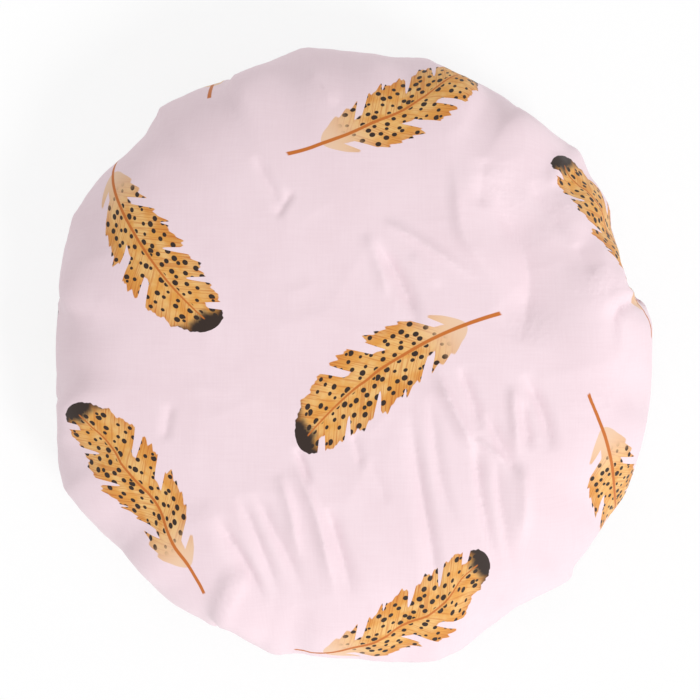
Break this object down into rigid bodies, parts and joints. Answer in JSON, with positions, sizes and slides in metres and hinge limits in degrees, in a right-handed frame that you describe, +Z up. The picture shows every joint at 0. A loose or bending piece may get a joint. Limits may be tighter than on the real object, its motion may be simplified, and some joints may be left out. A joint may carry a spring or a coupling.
{
  "type": "shower cap",
  "caption": "Puffed round shower cap of printed fabric over a waterproof lining, gathered into a bound elastic edge.",
  "frame": {"origin": "on the resting plane of the bound edge, under the middle of the puffed outline", "axes": "+Z up through the crown, +Y towards the top of the picture, +X towards its right"},
  "size_m": [0.291, 0.2988, 0.086],
  "materials": {
    "printed_fabric": "matte printed woven polyester",
    "lining_film": "soft milky film with a slight shine",
    "binding_tape": "matte woven bias tape",
    "elastic": "ribbed textile over rubber strands",
    "thread": "matte sewing thread"
  },
  "bodies": {
    "root": {"outer_shell": "printed_fabric", "waterproof_lining": "lining_film", "edge_binding": "binding_tape", "elastic_band": "elastic", "elastic_lap_stitch": "thread", "binding_needle_thread": "thread", "binding_bobbin_thread": "thread", "binding_join_stitch": "thread"}
  },
  "joints": []
}
